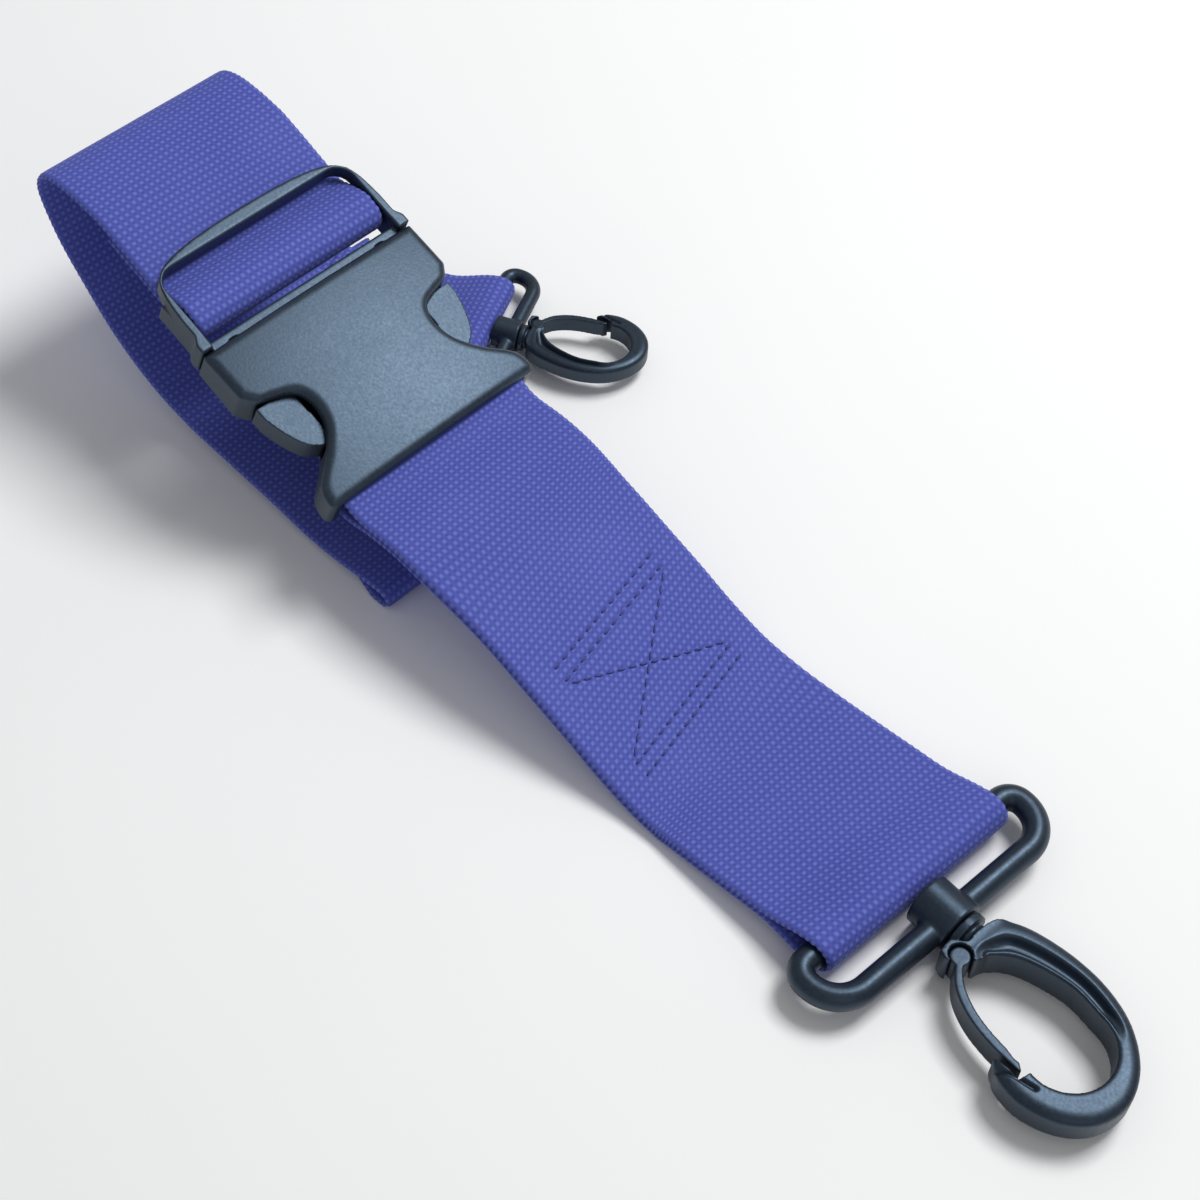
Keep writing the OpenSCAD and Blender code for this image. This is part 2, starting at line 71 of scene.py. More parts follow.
def spline(points, n):
    """A smooth curve through the points, with n steps between two of them."""
    p = np.array(points, float)
    last = len(p) - 1
    out = []
    for i in range(last):
        a, b, c, d = p[max(i - 1, 0)], p[i], p[i + 1], p[min(i + 2, last)]
        for j in range(n):
            t = j / n
            out.append(0.5 * (2 * b + (c - a) * t + (2 * a - 5 * b + 4 * c - d) * t ** 2
                              + (3 * b - a - 3 * c + d) * t ** 3))
    return np.array(out + [p[last]])


def arc(centre, r, start, end, n):
    a = np.radians(np.linspace(start, end, n + 1))
    return np.array(centre) + r * np.stack([np.cos(a), np.sin(a)], 1)


def normals(p):
    d = np.gradient(np.asarray(p), axis=0)
    n = np.stack([-d[:, 1], d[:, 0]], 1)
    return n / np.linalg.norm(n, axis=1, keepdims=True)


def from_buckle(u, w):
    c, s = math.cos(math.radians(TILT)), math.sin(math.radians(TILT))
    return (MOUTH_X - u * c + w * s, MOUTH_Z + u * s + w * c)


HOUSE_BAR = from_buckle(HOUSE_BAR_U, 0)
PLY = (WEB_T + PLY_GAP) / 2
front_middle = spline([
    (FRONT_REACH, FRONT_Z), (FRONT_REACH - 14, 4.7), (FRONT_REACH - 28, 3.1),
    (FRONT_REACH - 40, 1.95), (92, 1.75), (84, 2.6), (75, 5.4), (66, 9.2), (56, 13),
    (46, 16.8), (36, 19.8), (22, 22.3), from_buckle(-3, 0.2), HOUSE_BAR], 6)


def front_ply(side):
    """One ply of the front strap: side 1 is the upper, -1 the lower."""
    d = np.linalg.norm(front_middle - front_middle[0], axis=1)
    e = np.linalg.norm(front_middle - np.array(HOUSE_BAR), axis=1)
    off = PLY + (HOOK_TURN - PLY) * (1 - smooth(d / 14)) \
        + (HOUSE_TURN - PLY) * (1 - smooth(e / 9))
    return front_middle - side * normals(front_middle) * off[:, None]


def skew(x, y):
    """Shift along X of a point at y across the front strap: its run down from the buckle
    is skewed one way, and the hook's end is turned the other way."""
    ramp = -0.2 * y * smooth((x - 25) / 20) * smooth((104 - x) / 18)
    return ramp + math.tan(math.radians(FRONT_YAW)) * y * smooth((x - FRONT_REACH + 34) / 30)


def front_ring():
    """The front strip as a closed path: over both bars and back along the underside."""
    upper, lower = front_ply(1), front_ply(-1)
    return np.concatenate([
        arc(front_middle[0], HOOK_TURN, -88, 88, 24), upper[1:-1],
        arc(HOUSE_BAR, HOUSE_TURN, 92 - TILT, 268 - TILT, 20), lower[1:-1][::-1]])


def rear_path():
    """The rear webbing: tail, crossbar, outer bar, far fold, lower layer, near fold, end."""
    wrap_r = CROSSBAR_T / 2 + CLEAR + WEB_T / 2
    grip = CROSSBAR_U + CROSSBAR_T / 2
    grip_end = CROSSBAR_U + CROSSBAR_W - CROSSBAR_T / 2
    under = OUTER_BAR_BOTTOM - CLEAR - WEB_T / 2
    tail_z = under - WEB_T - 2 * PLY_GAP
    adjuster = np.concatenate([
        spline([(TAIL_U, tail_z + 0.1), (FRAME_L + 5, tail_z), (FRAME_L, tail_z),
                (57, tail_z + 0.1), (grip + 1, CROSSBAR_Z - wrap_r)], 8),
        arc((grip, CROSSBAR_Z), wrap_r, 270, 90, 24),
        spline([(grip + 1, CROSSBAR_Z + wrap_r), (grip_end, CROSSBAR_Z + wrap_r),
                (grip_end + 4, CROSSBAR_Z + 0.8), (FRAME_L - 4.5, under - 0.1),
                (FRAME_L + 1, under - 0.1), (FRAME_L + 8, under + 0.2),
                (FRAME_L + 15, under + 0.3)], 8)])
    ski = 0.58 * FAR_FOLD
    far = -FAR_FOLD
    loop = spline([
        (15 + far, FOLD_Z + 0.6), (8 + far, FOLD_Z + 0.8), (2.6 + far, FOLD_Z - 0.8),
        (0.4 + far, FOLD_Z - 4.2), (1 + far, FOLD_Z - 9), (5 + far, FOLD_Z - 17.5),
        (12 + far, FOLD_Z - 26.3), (20 + far, FOLD_Z - 34.8), (-6 - ski, 10.2),
        (6 - ski, 6.6), (19 - ski, 5.3), (33 - ski, 4.2), (NEAR_FOLD - 25, 2.8),
        (NEAR_FOLD - 16, 2.9), (NEAR_FOLD - 8, 3.9),
        (NEAR_FOLD - 3, WEB_T / 2 + 2 * FOLD_R)], 8)
    fold = arc((NEAR_FOLD - FOLD_R, WEB_T / 2 + FOLD_R), FOLD_R, 90, -90, 16)
    last = [(NEAR_FOLD - 8, WEB_T / 2), (RETURN_END, WEB_T / 2)]
    points = np.array([from_buckle(*q) for q in adjuster])
    return np.concatenate([points, loop, fold, last]), len(points) + len(loop) + 8


def resample(path, step, closed=False):
    """Points at even steps along a path, and the length at each."""
    p = np.asarray(path, float)
    if closed:
        p = np.concatenate([p, p[:1]])
    seg = np.linalg.norm(np.diff(p, axis=0), axis=1)
    keep = np.concatenate([[True], seg > 1e-4])
    p = p[keep]
    s = np.concatenate([[0], np.cumsum(np.linalg.norm(np.diff(p, axis=0), axis=1))])
    n = int(round(s[-1] / step))
    at = np.linspace(0, s[-1], n + 1)
    q = np.stack([np.interp(at, s, p[:, k]) for k in range(p.shape[1])], 1)
    return (q[:-1], at[:-1], s[-1]) if closed else (q, at, s[-1])


# ---- meshes ---------------------------------------------------------------

def new_piece(name, verts_mm, faces, material, body, uv=None):
    mesh = bpy.data.meshes.new(name)
    mesh.from_pydata((np.asarray(verts_mm) * MM).tolist(), [], faces)
    if uv is not None:
        layer = mesh.uv_layers.new(name="Weave")
        index = np.zeros(len(mesh.loops), int)
        mesh.loops.foreach_get("vertex_index", index)
        layer.data.foreach_set("uv", (np.asarray(uv)[index] * MM).ravel())
    mesh.polygons.foreach_set("use_smooth", [True] * len(mesh.polygons))
    mesh.materials.append(material)
    mesh.update()
    piece = bpy.data.objects.new(name, mesh)
    bpy.context.scene.collection.objects.link(piece)
    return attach(piece, body)


RIB = 1.5                             # pitch of the webbing's ribs, both ways
SELVEDGE = 1.4                        # width of the rounded edge of a strip
FRAY = 0.07                           # how far the picks stand out at the edge
SINK = 0.06                           # how much thinner a strip is than in the CAD


def band(name, path, width, thick, material, body, closed=False, place=None, dent=None,
         rib=0.07, step=RIB / 2):
    """A webbing strip along a path in X and Z, with ribs, picks and rounded selvedges."""
    q, s, length = resample(path, step, closed)
    if closed:
        wide = np.concatenate([q[-2:], q, q[:2]])
        n = normals(wide)[2:-2]
    else:
        n = normals(q)
    m = int(round(width / step))
    y = np.linspace(-width / 2, width / 2, m + 1)
    edge = np.minimum(width / 2 - np.abs(y), SELVEDGE) / SELVEDGE
    half = (thick / 2) * (0.30 + 0.70 * np.sqrt(1 - (1 - edge) ** 2))
    sg, yg = s[:, None], y[None, :]
    ribs = np.cos(2 * np.pi * sg / RIB) * 0.6 + np.cos(2 * np.pi * yg / RIB) * 0.4
    ribs = ribs * (0.85 + 0.3 * np.sin(sg * 0.21 + 1.3) * np.sin(yg * 0.37))
    fray = FRAY * np.cos(2 * np.pi * sg / RIB) * (1 - edge)[None, :] * np.sign(yg)
    rings = []
    for side, cols in ((1, np.arange(m + 1)), (-1, np.arange(m, -1, -1))):
        off = side * (half[None, cols] - rib + rib * ribs[:, cols])
        if dent is not None:
            off = off - side * dent(q[:, 0:1], yg[:, cols], side, n)
        across = yg[:, cols] + fray[:, cols] + 0 * sg
        xyz = np.stack([q[:, 0:1] + n[:, 0:1] * off, across, q[:, 1:2] + n[:, 1:2] * off], 2)
        uv = np.stack([sg + 0 * across, across + width / 2 + 0 * sg], 2)
        rings.append((xyz, uv))
    xyz = np.concatenate([r[0] for r in rings], 1)
    uv = np.concatenate([r[1] for r in rings], 1)
    rows, cols = xyz.shape[:2]
    if place is not None:
        xyz = place(xyz, s)
    faces = []
    for i in range(rows if closed else rows - 1):
        a, b = i * cols, ((i + 1) % rows) * cols
        for j in range(cols):
            k = (j + 1) % cols
            faces.append((a + j, a + k, b + k, b + j))
    if not closed:
        for a, flip in ((0, False), ((rows - 1) * cols, True)):
            for j in range(m):
                f = (a + j, a + cols - 1 - j, a + cols - 2 - j, a + j + 1)
                faces.append(f[::-1] if flip else f)
    piece = new_piece(name, xyz.reshape(-1, 3), faces, material, body,
                      uv.reshape(-1, 2))
    return piece, length


def thread_rows(name, rows, material, body, radius=0.34, pitch=3.0, dash=2.35):
    """Sewn rows. Each row is a function of the distance along it, giving a point and the
    face's normal there, and its length. A stitch is a short thread that dips at its ends."""
    verts, faces = [], []
    sides, steps = 6, 6
    for row, length in rows:
        count = max(1, int(length / pitch))
        gap = length / count
        for c in range(count):
            start = c * gap + (gap - dash) / 2
            line = []
            for i in range(steps + 1):
                p, up = row(start + dash * i / steps)
                lift = 0.30 * math.sin(math.pi * i / steps) - 0.22
                line.append((np.array(p) + np.array(up) * lift, np.array(up)))
            base = len(verts)
            for i, (p, up) in enumerate(line):
                ahead = line[min(i + 1, steps)][0] - line[max(i - 1, 0)][0]
                ahead /= np.linalg.norm(ahead)
                side = np.cross(ahead, up)
                side /= np.linalg.norm(side)
                top = np.cross(side, ahead)
                r = radius * (0.55 + 0.45 * math.sin(math.pi * i / steps) ** 0.5)
                for k in range(sides):
                    a = 2 * math.pi * k / sides
                    verts.append(p + r * (math.cos(a) * side + 0.8 * math.sin(a) * top))
            for i in range(steps):
                for k in range(sides):
                    m = (k + 1) % sides
                    a, b = base + i * sides, base + (i + 1) * sides
                    faces.append((a + k, a + m, b + m, b + k))
            faces.append(tuple(base + k for k in range(sides))[::-1])
            faces.append(tuple(base + steps * sides + k for k in range(sides)))
    return new_piece(name, verts, faces, material, body)


def distance_to(points, line):
    """Distance in a plane from each point to a polyline."""
    best = np.full(len(points), 1e9)
    for a, b in zip(line[:-1], line[1:]):
        d = b - a
        t = np.clip(((points - a) @ d) / max(d @ d, 1e-12), 0, 1)
        best = np.minimum(best, np.linalg.norm(points - a - t[:, None] * d, axis=1))
    return best


def moulded(node, name, place, voxel, smoothing, material, body, shape=None):
    """A moulded piece: the CAD node's shape with every edge rounded, then shaped further
    in its own frame, which place takes to the row frame."""
    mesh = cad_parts[node].data.copy()
    mesh.transform(place.inverted())
    mesh.materials.clear()
    work = bpy.data.objects.new(name + "_work", mesh)
    bpy.context.scene.collection.objects.link(work)
    remesh = work.modifiers.new("remesh", "REMESH")
    remesh.mode = "VOXEL"
    remesh.voxel_size = voxel * MM
    relax = work.modifiers.new("relax", "SMOOTH")
    relax.factor = 0.5
    relax.iterations = smoothing
    final = bpy.data.meshes.new_from_object(
        work.evaluated_get(bpy.context.evaluated_depsgraph_get()))
    bpy.data.objects.remove(work)
    co = np.zeros(len(final.vertices) * 3)
    final.vertices.foreach_get("co", co)
    co = co.reshape(-1, 3) / MM
    if shape is not None:
        co = shape(co)
    turn = np.array(place)
    co = co * MM @ turn[:3, :3].T + turn[:3, 3]
    final.vertices.foreach_set("co", co.ravel())
    final.polygons.foreach_set("use_smooth", [True] * len(final.polygons))
    final.materials.clear()
    final.materials.append(material)
    final.name = name
    final.update()
    piece = bpy.data.objects.new(name, final)
    bpy.context.scene.collection.objects.link(piece)
    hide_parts(node)
    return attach(piece, body)


# ---- materials ------------------------------------------------------------

class Nodes:
    """Short ways to add shader nodes to a material."""

    def __init__(self, name):
        self.material = bpy.data.materials.new(name)
        self.material.use_nodes = True
        self.tree = self.material.node_tree
        self.shader = self.tree.nodes["Principled BSDF"]

    def add(self, kind, **values):
        node = self.tree.nodes.new(kind)
        for key, value in values.items():
            setattr(node, key, value)
        return node

    def link(self, a, b):
        self.tree.links.new(a, b)

    def math(self, operation, a, b=0.0):
        node = self.add("ShaderNodeMath", operation=operation)
        for socket, value in zip(node.inputs, (a, b)):
            if isinstance(value, bpy.types.NodeSocket):
                self.link(value, socket)
            else:
                socket.default_value = value
        return node.outputs[0]

    def noise(self, vector, scale, detail=3.0, rough=0.55):
        node = self.add("ShaderNodeTexNoise")
        self.link(vector, node.inputs["Vector"])
        node.inputs["Scale"].default_value = scale
        node.inputs["Detail"].default_value = detail
        node.inputs["Roughness"].default_value = rough
        return node.outputs["Fac"]

    def ramp(self, value, stops):
        node = self.add("ShaderNodeValToRGB")
        elements = node.color_ramp.elements
        while len(elements) < len(stops):
            elements.new(0.5)
        for element, (at, colour) in zip(elements, stops):
            element.position = at
            element.color = (*colour, 1)
        self.link(value, node.inputs["Fac"])
        return node.outputs["Color"]

    def spread(self, value, low, high):
        node = self.add("ShaderNodeMapRange")
        self.link(value, node.inputs["Value"])
        node.inputs["To Min"].default_value = low
        node.inputs["To Max"].default_value = high
        return node.outputs["Result"]

    def bump(self, height, strength, distance, under=None):
        node = self.add("ShaderNodeBump")
        self.link(height, node.inputs["Height"])
        node.inputs["Strength"].default_value = strength
        node.inputs["Distance"].default_value = distance
        if under is not None:
            self.link(under, node.inputs["Normal"])
        return node.outputs["Normal"]

    def set(self, **values):
        for key, value in values.items():
            self.shader.inputs[key.replace("_", " ")].default_value = value


def plastic(name, dark, mid, light, rough):
    """Satin moulded plastic with a fine spark-eroded grain."""
    n = Nodes(name)
    place = n.add("ShaderNodeTexCoord").outputs["Object"]
    broad = n.noise(place, 55, 2)
    grain = n.noise(place, 1500, 2, 0.6)
    mix = n.math("ADD", n.math("MULTIPLY", broad, 0.6), n.math("MULTIPLY", grain, 0.4))
    n.link(n.ramp(mix, [(0.36, dark), (0.5, mid), (0.66, light)]),
           n.shader.inputs["Base Color"])
    n.link(n.spread(n.math("ADD", grain, n.math("MULTIPLY", broad, 0.5)), *rough),
           n.shader.inputs["Roughness"])
    n.link(n.bump(grain, 0.35, 0.00006), n.shader.inputs["Normal"])
    n.set(Specular_IOR_Level=0.8, Specular_Tint=(0.50, 0.72, 1.0, 1.0))
    return n.material


def webbing_material(name, valley_shade, mid, crown_highlight):
    """Woven webbing: a grid of ribs and picks with fibres, from lengths on the strip."""
    n = Nodes(name)
    uv = n.add("ShaderNodeUVMap", uv_map="Weave").outputs["UV"]
    part = n.add("ShaderNodeSeparateXYZ")
    n.link(uv, part.inputs["Vector"])
    place = n.add("ShaderNodeTexCoord").outputs["Object"]
    wander = n.math("MULTIPLY", n.math("SUBTRACT", n.noise(place, 160, 2), 0.5), 0.0005)
    pitch = RIB * MM
    along = n.math("ADD", part.outputs["X"], wander)
    over = n.math("ADD", part.outputs["Y"], wander)
    a = n.math("COSINE", n.math("MULTIPLY", along, 2 * math.pi / pitch))
    b = n.math("COSINE", n.math("MULTIPLY", over, 2 * math.pi / pitch))
    grid = n.math("ADD", n.math("MULTIPLY", n.math("MULTIPLY", a, b), 0.22),
                  n.math("ADD", n.math("MULTIPLY", a, 0.16), n.math("MULTIPLY", b, 0.12)))
    yarn = n.math("COSINE", n.math("MULTIPLY", over, 2 * math.pi / (pitch / 4)))
    fibre = n.noise(place, 2600, 2, 0.7)
    blotch = n.noise(place, 38, 3)
    # tone: the rib grid darkens the weave's valleys and lightens its crowns, which is painted
    # shade and painted highlight; fibre and blotch add random tone
    tone = n.math("ADD", n.math("ADD", n.math("ADD", grid, 0.28),
                                n.math("MULTIPLY", fibre, 0.22)),
                  n.math("MULTIPLY", blotch, 0.26))
    n.link(n.ramp(tone, [(0.22, valley_shade), (0.5, mid), (0.86, crown_highlight)]),
           n.shader.inputs["Base Color"])
    n.link(n.spread(fibre, 0.62, 0.86), n.shader.inputs["Roughness"])
    fine = n.bump(n.math("ADD", fibre, n.math("MULTIPLY", yarn, 0.18)), 0.35, 0.00009)
    n.link(n.bump(grid, 0.6, 0.00022, fine), n.shader.inputs["Normal"])
    n.set(Sheen_Weight=0.18, Sheen_Roughness=0.45, Sheen_Tint=(0.55, 0.62, 1.0, 1.0),
          Specular_IOR_Level=0.25)
    return n.material


def thread_material(name, dark, light):
    n = Nodes(name)
    place = n.add("ShaderNodeTexCoord").outputs["Object"]
    twist = n.noise(place, 3200, 2)
    n.link(n.ramp(twist, [(0.35, dark), (0.65, light)]), n.shader.inputs["Base Color"])
    n.link(n.bump(twist, 0.5, 0.00005), n.shader.inputs["Normal"])
    n.set(Roughness=0.6, Sheen_Weight=0.1)
    return n.material


BUCKLE = plastic("buckle_plastic", (0.008, 0.011, 0.016), (0.013, 0.018, 0.026),
                 (0.020, 0.028, 0.040), (0.25, 0.45))
HOOK = plastic("hook_plastic", (0.005, 0.007, 0.011), (0.009, 0.012, 0.018),
               (0.014, 0.019, 0.029), (0.25, 0.45))
# webbing colours: painted shade in the weave's valleys, the strap's mid tone, painted
# highlight on the weave's crowns
WEBBING = webbing_material("blue_webbing", (0.050, 0.064, 0.330), (0.080, 0.102, 0.430),
                           (0.135, 0.168, 0.560))
THREAD = thread_material("sewing_thread", (0.030, 0.036, 0.210), (0.050, 0.062, 0.310))

# ---- webbing --------------------------------------------------------------

upper_face, lower_face = front_ply(1)[::-1], front_ply(-1)[::-1]
BOX_ROWS = (BOX_X[0], BOX_X[0] + 3, BOX_X[1] - 3, BOX_X[1])


def puckers(x, y, side, n):
    """How far the stitched rows pull the outer faces in."""
    inside = smooth((BOX_Y + 1.5 - np.abs(y)) / 2)
    pull = 0
    for row in BOX_ROWS:
        pull = pull + np.exp(-((x - row) / 0.8) ** 2)
    for m in (-1, 1):
        cross = m * (BOX_Y - 1) * (x - sum(BOX_X) / 2) / ((BOX_X[1] - BOX_X[0]) / 2 - 4)
        near = (x > BOX_X[0] + 3) & (x < BOX_X[1] - 3)
        pull = pull + np.exp(-((y - cross) / 0.9) ** 2) * near
    outer = np.sign(n[:, 1:2]) * side > 0
    return 0.22 * np.minimum(pull, 1.2) * inside * outer


def skewed(xyz, s):
    out = xyz.copy()
    out[:, :, 0] += skew(xyz[:, :, 0], xyz[:, :, 1])
    return out


front_band, front_length = band(
    "front_strap_webbing", front_ring(), WEB_W, WEB_T - SINK, WEBBING, "front_strap",
    closed=True, place=skewed, dent=puckers)
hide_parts("front_buckle_webbing", "front_hook_webbing")

rear_line, turned_from = rear_path()
_, _, straight_length = resample(rear_line[:turned_from], RIB / 2)


def turned_aside(xyz, s):
    out = xyz.copy()
    run = np.maximum(NEAR_FOLD - 5 - xyz[:, :, 0], 0) * (s > straight_length)[:, None]
    out[:, :, 1] += math.tan(math.radians(RETURN_TURN)) * run
    return out


rear_band, rear_length = band(
    "rear_strap_webbing", rear_line, WEB_W, WEB_T - SINK, WEBBING, "rear_strap",
    place=turned_aside)
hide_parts("rear_webbing")

at_front = (Matrix.Translation(Vector((FRONT_REACH, 0, FRONT_Z)) * MM)
            @ Matrix.Rotation(-math.radians(FRONT_YAW), 4, "Z"))
at_rear = (Matrix.Translation(Vector((REAR_X, REAR_Y, REAR_Z)) * MM)
           @ Matrix.Rotation(math.radians(REAR_HEADING), 4, "Z"))
flipped = at_rear @ Matrix.Rotation(math.pi, 4, "X")
in_buckle = (Matrix.Translation(Vector((MOUTH_X, 0, MOUTH_Z)) * MM)
             @ Matrix.Rotation(math.radians(TILT), 4, "Y")
             @ Matrix.Rotation(math.pi, 4, "Z"))

tab_ply = (TAB_T + PLY_GAP / 2) / 2
tab_wrap = BAR_R * REAR_SCALE + CLEAR + TAB_T / 2
tab_drop = REAR_Z - WEB_T - 2 * tab_ply - PLY_GAP / 2 + 0.1


def tab_side(side):
    d = TAB_L * (1 - np.arange(25) / 24)
    k = smooth(d / 14)
    return np.stack([-d, -tab_drop * k + side * (tab_ply + (tab_wrap - tab_ply) * (1 - k))], 1)


def to_rear(xyz, s=None):
    turn = np.array(at_rear)
    return xyz @ turn[:3, :3].T + turn[:3, 3] / MM


tab_line = np.concatenate([tab_side(-1), arc((0, 0), tab_wrap, -80, 80, 20),
                           tab_side(1)[::-1]])
tab_band, tab_length = band("rear_tab_webbing", tab_line, TAB_W, TAB_T - SINK, WEBBING,
                            "rear_strap", place=to_rear, rib=0.05)
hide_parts("rear_tab")

# ---- stitching ------------------------------------------------------------


def face_point(x, y, side):
    """A point on the front strap's outer face, and the normal there."""
    line = upper_face if side > 0 else lower_face
    z = np.interp(x, line[:, 0], line[:, 1])
    slope = (np.interp(x + 0.5, line[:, 0], line[:, 1]) - z) / 0.5
    up = np.array([-slope, 0, 1]) / math.hypot(slope, 1) * side
    return np.array([x + skew(x, y), y, z]) + up * (WEB_T / 2 - SINK), up


def row_between(a, b, place):
    a, b = np.array(a, float), np.array(b, float)
    length = np.linalg.norm(b - a)
    return (lambda d: place(*(a + (b - a) * min(max(d / length, 0), 1)))), length


box_rows = []
for side in (1, -1):
    on_face = lambda x, y, side=side: face_point(x, y, side)
    for x in BOX_ROWS:
        box_rows.append(row_between((x, -BOX_Y), (x, BOX_Y), on_face))
    for m in (-1, 1):
        box_rows.append(row_between((BOX_X[0] + 4, -m * (BOX_Y - 1)),
                                    (BOX_X[1] - 4, m * (BOX_Y - 1)), on_face))
box_thread = thread_rows("box_stitches", box_rows, THREAD, "front_strap", 0.27, 2.6, 1.9)
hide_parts("front_box_stitching")

tail_z = OUTER_BAR_BOTTOM - CLEAR - WEB_T / 2 - WEB_T - 2 * PLY_GAP
tilt = math.radians(TILT)
down = np.array([-math.sin(tilt), 0, -math.cos(tilt)])
tail_rows = []
for u in (TAIL_U - 5, TAIL_U - 1.5):
    x, z = from_buckle(u, tail_z - WEB_T / 2)
    tail_rows.append(row_between((x, 2 - WEB_W / 2), (x, WEB_W / 2 - 2),
                                 lambda px, py, z=z: (np.array([px, py, z]), down)))
tail_thread = thread_rows("tail_hem_stitches", tail_rows, THREAD, "rear_strap")
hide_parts("tail_hem_stitching")

tab_top = -tab_drop + tab_ply + TAB_T / 2 - 0.02
tab_y = TAB_W / 2 - 3


def on_tab(x, y):
    return to_rear(np.array([x, y, tab_top])), np.array([0, 0, 1.0])


tab_rows = [row_between((-TAB_L + d, -tab_y), (-TAB_L + d, tab_y), on_tab) for d in (3, 18)]
tab_rows += [row_between((-TAB_L + 4.2, m * tab_y), (-TAB_L + 16.8, m * tab_y), on_tab)
             for m in (-1, 1)]
tab_thread = thread_rows("rear_tab_stitches", tab_rows, THREAD, "rear_strap", 0.27, 2.6, 1.9)
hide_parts("rear_tab_stitching")

# ---- buckle ---------------------------------------------------------------

half_w = BUCKLE_W / 2
housing_edge = np.concatenate([spline([
    (0, half_w - 1), (1.4, half_w), (5.6, half_w - 1.2), (10.5, WAIST_Y + 4.8),
    (15.5, WAIST_Y + 1), (20.5, WAIST_Y), (24.3, WAIST_Y + 1.5), (26, WAIST_Y + 5.5),
    (WINDOW_U - 0.4, half_w - 2.4), (WINDOW_U + 2.5, half_w)], 6), [(HOUSING_L, half_w)]])
housing_outline = np.concatenate([housing_edge, (housing_edge * (1, -1))[::-1],
                                  housing_edge[:1]])


ROLL_R, ROLL_DROP = 2.0, 1.25         # how far in a plate's edge rolls, and how far down
LEAST_PLATE = 0.2                     # thickness left at a plate's edge
HOUSING_MIDDLE = 21                   # crest of the plates' dome, from the mouth


def crowned(co):
    """The housing's plates are domed and their edges roll over."""
    d = distance_to(co[:, :2], housing_outline)
    roll = ROLL_DROP * (1 - np.sqrt(1 - (1 - np.clip(d / ROLL_R, 0, 1)) ** 2))
    middle = HOUSING_MIDDLE
    dome = 0.75 - 1.1 * (co[:, 1] / half_w) ** 2 - 0.7 * ((co[:, 0] - middle) / middle) ** 2
    out = co.copy()
    above = np.abs(co[:, 2]) > PLATE_IN
    thick = np.maximum(PLATE_T - roll + dome, LEAST_PLATE) / PLATE_T
    out[:, 2] = np.where(above, np.sign(co[:, 2]) * (
        PLATE_IN + (np.abs(co[:, 2]) - PLATE_IN) * thick), co[:, 2])
    return out


BASE_END = 43.5                       # where the male frame's base ends and its rails start
RAIL_SLIM = 0.4                       # share of the rails' width that is taken off


def thin_rails(co):
    """The male frame's side rails are slimmer than the housing's walls."""
    out = co.copy()
    slot = WEB_W / 2 + CLEAR
    beside = np.abs(co[:, 1]) - slot
    slim = smooth((co[:, 0] - BASE_END) / 2.5) * RAIL_SLIM
    out[:, 1] = np.where(beside > 0, np.sign(co[:, 1]) * (slot + beside * (1 - slim)),
                         co[:, 1])
    return out


moulded("female_housing", "female_housing_shell", in_buckle, 0.4, 3, BUCKLE, "front_strap",
        crowned)
moulded("male_frame", "male_frame_shell", in_buckle, 0.32, 2, BUCKLE, "rear_strap",
        thin_rails)
moulded("left_release_arm", "left_release_pad", in_buckle, 0.3, 3, BUCKLE, "left_arm")
moulded("right_release_arm", "right_release_pad", in_buckle, 0.3, 3, BUCKLE, "right_arm")

# ---- hooks ----------------------------------------------------------------

hook_outer = spline([
    (16.6, -2.6), (16.4, 2), (17.6, 5.4), (22, 8), (30, 9.6), (38, 9.4), (45.5, 7),
    (51.6, 2), (54.6, -4.5), (53.6, -11), (49.2, -15.8), (43, -18.2), (37.6, -17.9),
    (34.6, -16.1), (34.2, -15.2)], 6)
hook_inner = np.concatenate([
    arc(BEND, BEND_R, -93, 90, 24),
    spline([(41, 3.8), (35, 4.4), (29, 3.3), (24, 1.3), (20.8, -1.8)], 6)])
NOSE_LINE = np.array([(35.6, -17.2), (38.2, -15.6), (42.5, -14.6)])


def hook_shape(k):
    """Rounded outer edge, a hollow along the spine with a thin ridge inside it, and a
    broad face round the bend, for a hook at k times the drawn size."""
    def shape(co):
        p = co[:, :2] / k
        d_out, d_in = distance_to(p, hook_outer), distance_to(p, hook_inner)
        t = d_out / np.maximum(d_out + d_in, 1e-6)
        body = smooth((p[:, 0] - 16.5) / 3)
        spine = smooth((47 - p[:, 0]) / 7) * smooth((p[:, 0] - 17) / 5) \
            * smooth((p[:, 1] + 5) / 5)
        height = 1 - 0.42 * (1 - np.sqrt(1 - (1 - np.clip(d_out / 2.6, 0, 1)) ** 2))
        height -= 0.12 * (1 - np.sqrt(1 - (1 - np.clip(d_in / 0.9, 0, 1)) ** 2))
        hollow = np.exp(-((t - 0.66) / 0.17) ** 4)
        height -= 0.46 * hollow * spine
        groove = np.exp(-(distance_to(p, NOSE_LINE) / 0.32) ** 2)
        height -= 0.22 * groove
        out = co.copy()
        out[:, 2] = co[:, 2] * (1 + body * (height - 1))
        return out
    return shape


moulded("front_loop", "front_loop_bar", at_front, 0.33, 4, HOOK, "front_loop_body")
moulded("front_hook", "front_hook_body", at_front, 0.27, 4, HOOK, "front_hook_body",
        hook_shape(FRONT_SCALE))
moulded("front_gate", "front_gate_leaf", at_front, 0.22, 3, HOOK, "front_gate_body")
moulded("rear_loop", "rear_loop_bar", at_rear, 0.22, 4, HOOK, "rear_loop_body")
moulded("rear_hook", "rear_hook_body", flipped, 0.18, 4, HOOK, "rear_hook_body",
        hook_shape(REAR_SCALE))
moulded("rear_gate", "rear_gate_leaf", flipped, 0.15, 3, HOOK, "rear_gate_body")

# ---- stage, light and camera ----------------------------------------------

scene = bpy.context.scene
scene.view_settings.view_transform = "Standard"

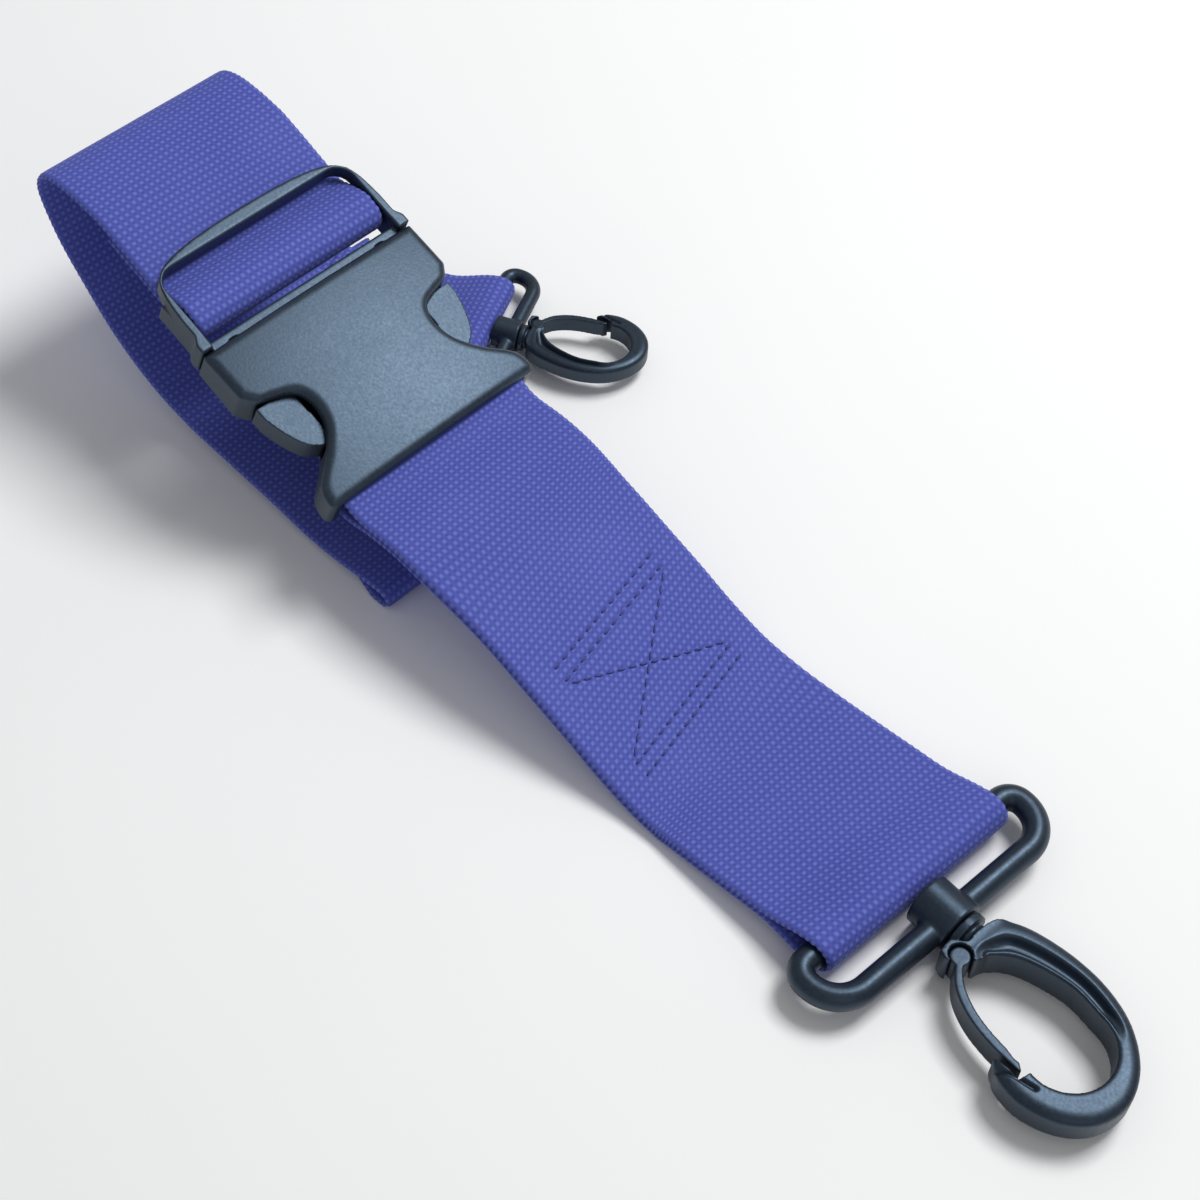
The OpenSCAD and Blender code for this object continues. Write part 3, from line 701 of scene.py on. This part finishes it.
floor_mesh = bpy.data.meshes.new("floor")
reach, below = 4.0, -0.0003           # metres
floor_mesh.from_pydata([(-reach, -reach, below), (reach, -reach, below),
                        (reach, reach, below), (-reach, reach, below)], [],
                       [(0, 1, 2, 3)])
floor = bpy.data.objects.new("floor", floor_mesh)
scene.collection.objects.link(floor)
floor_look = Nodes("floor_paper")
floor_place = floor_look.add("ShaderNodeTexCoord").outputs["Object"]
floor_look.link(floor_look.ramp(floor_look.noise(floor_place, 6, 2),
                                [(0.3, (0.95, 0.95, 0.95)), (0.7, (0.97, 0.97, 0.97))]),
                floor_look.shader.inputs["Base Color"])
floor_look.set(Roughness=0.9, Specular_IOR_Level=0.1)
floor_mesh.materials.append(floor_look.material)

world = bpy.data.worlds.new("studio")
scene.world = world
world.use_nodes = True
background = world.node_tree.nodes["Background"]
background.inputs["Color"].default_value = (0.97, 0.985, 1.0, 1)
background.inputs["Strength"].default_value = 0.32


def softbox(name, direction, distance, size, level):
    """A square lamp that shines at the belt. level is its radiance, where 1 is white."""
    light = bpy.data.lights.new(name, "AREA")
    light.shape = "SQUARE"
    light.size = size
    light.energy = level * math.pi * size * size
    lamp = bpy.data.objects.new(name, light)
    away = Vector(direction).normalized()
    lamp.location = Vector((0.03, 0, 0.01)) + away * distance
    lamp.rotation_mode = "QUATERNION"
    lamp.rotation_quaternion = away.to_track_quat("Z", "Y")
    scene.collection.objects.link(lamp)


softbox("key", (0.12, 0.47, 0.87), 1.1, 0.44, 14.5)
softbox("fill", (0.9, -0.5, 0.8), 1.4, 0.7, 0.6)

CAMERA_AT = (240.99, -208.24, 378.72)
CAMERA_TURN = (41.639, 52.471, 3.525)  # azimuth, elevation and roll in degrees

camera_data = bpy.data.cameras.new("camera")
camera_data.sensor_width = 36.0
camera_data.lens = 68.13
camera_data.clip_start = 0.01
camera = bpy.data.objects.new("camera", camera_data)
azimuth, elevation, roll = (math.radians(a) for a in CAMERA_TURN)
back = Vector((math.sin(azimuth) * math.cos(elevation),
               -math.cos(azimuth) * math.cos(elevation), math.sin(elevation)))
level = Vector((math.cos(azimuth), math.sin(azimuth), 0))
upright = back.cross(level)
right = level * math.cos(roll) + upright * math.sin(roll)
up = upright * math.cos(roll) - level * math.sin(roll)
camera.matrix_world = Matrix.Translation(Vector(CAMERA_AT) * MM) @ Matrix(
    (right, up, back)).transposed().to_4x4()
scene.collection.objects.link(camera)
scene.camera = camera
